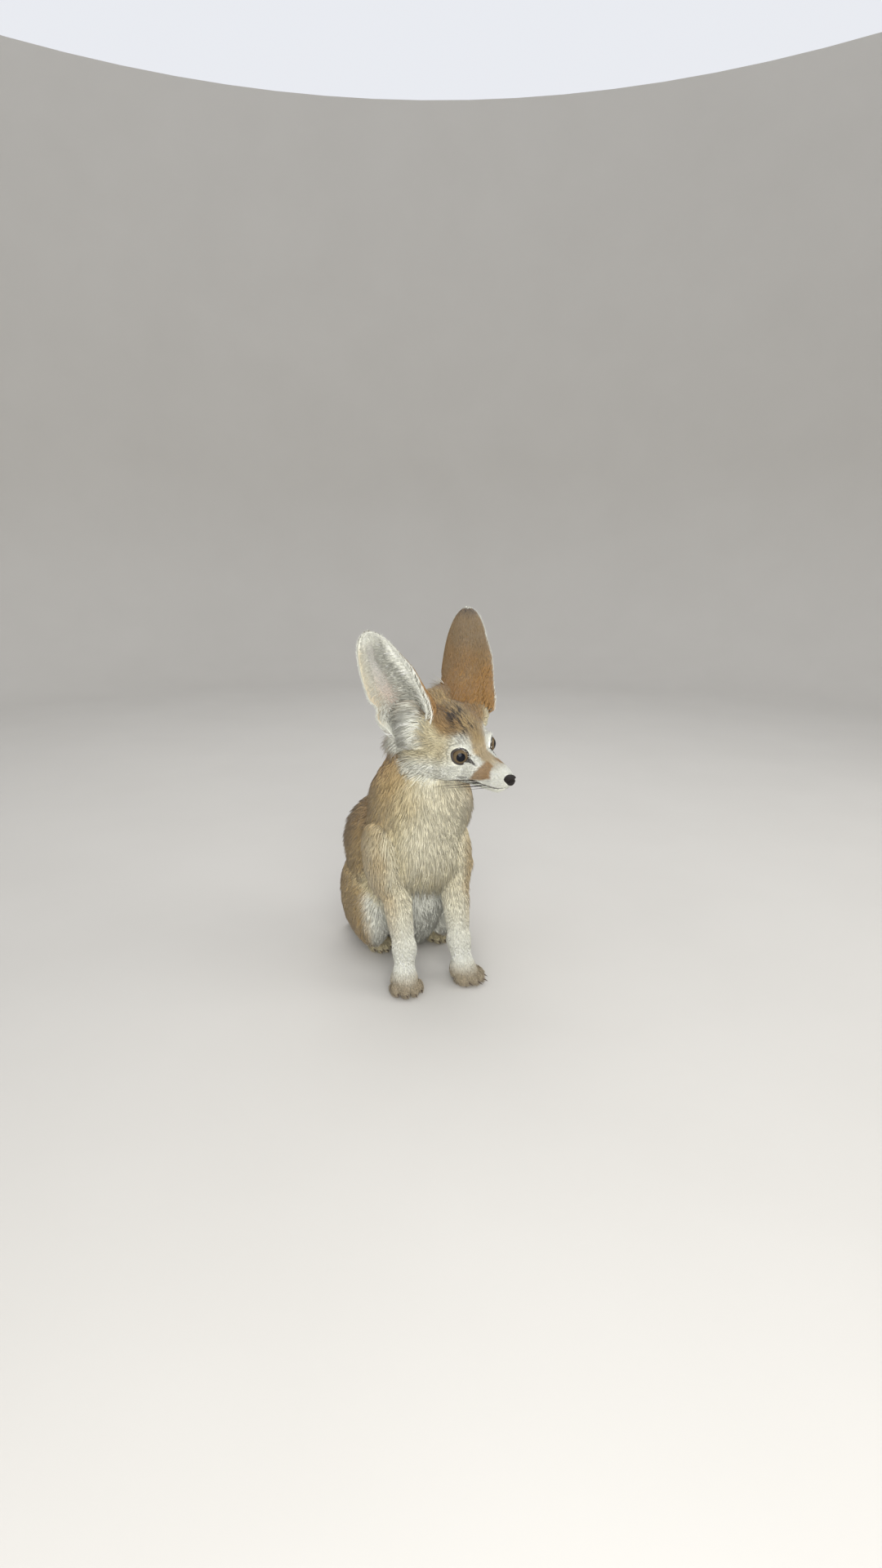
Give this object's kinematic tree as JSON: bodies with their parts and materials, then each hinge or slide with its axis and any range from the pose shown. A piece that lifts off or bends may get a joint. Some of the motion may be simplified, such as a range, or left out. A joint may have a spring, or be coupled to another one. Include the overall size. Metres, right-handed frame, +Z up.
{
  "type": "fennec fox",
  "caption": "Small desert fox with very large ears, sitting upright on its haunches with its forelegs straight and its head turned to its left.",
  "frame": {"origin": "middle of the bounding box's base, on the plane the paws, rump and tail rest on", "axes": "+Z up, the body faces -Y, +X to the fox's left; the head is turned towards +X"},
  "size_m": [0.163, 0.276, 0.3045],
  "materials": {
    "coat_sand": "short soft fur, sandy buff",
    "coat_cream": "short soft fur, cream",
    "coat_white": "short soft fur, off white",
    "coat_dark": "long fur, near black",
    "nose_leather": "moist, finely grained",
    "eye": "wet, clear and dark brown"
  },
  "bodies": {
    "root": {"chest": "coat_sand", "ear_left": "coat_cream", "ear_right": "coat_cream", "eye_left": "eye", "eye_right": "eye", "foreleg_left": "coat_cream", "foreleg_right": "coat_cream", "forepaw_left": "coat_cream", "forepaw_right": "coat_cream", "head": "coat_sand", "hind_foot_left": "coat_cream", "hind_foot_right": "coat_cream", "hindquarters": "coat_sand", "lower_jaw": "coat_white", "neck": "coat_cream", "nose": "nose_leather", "tail_end": "coat_sand", "tail_root": "coat_sand", "tail_tip": "coat_dark", "thigh_left": "coat_sand", "thigh_right": "coat_sand"}
  },
  "joints": []
}
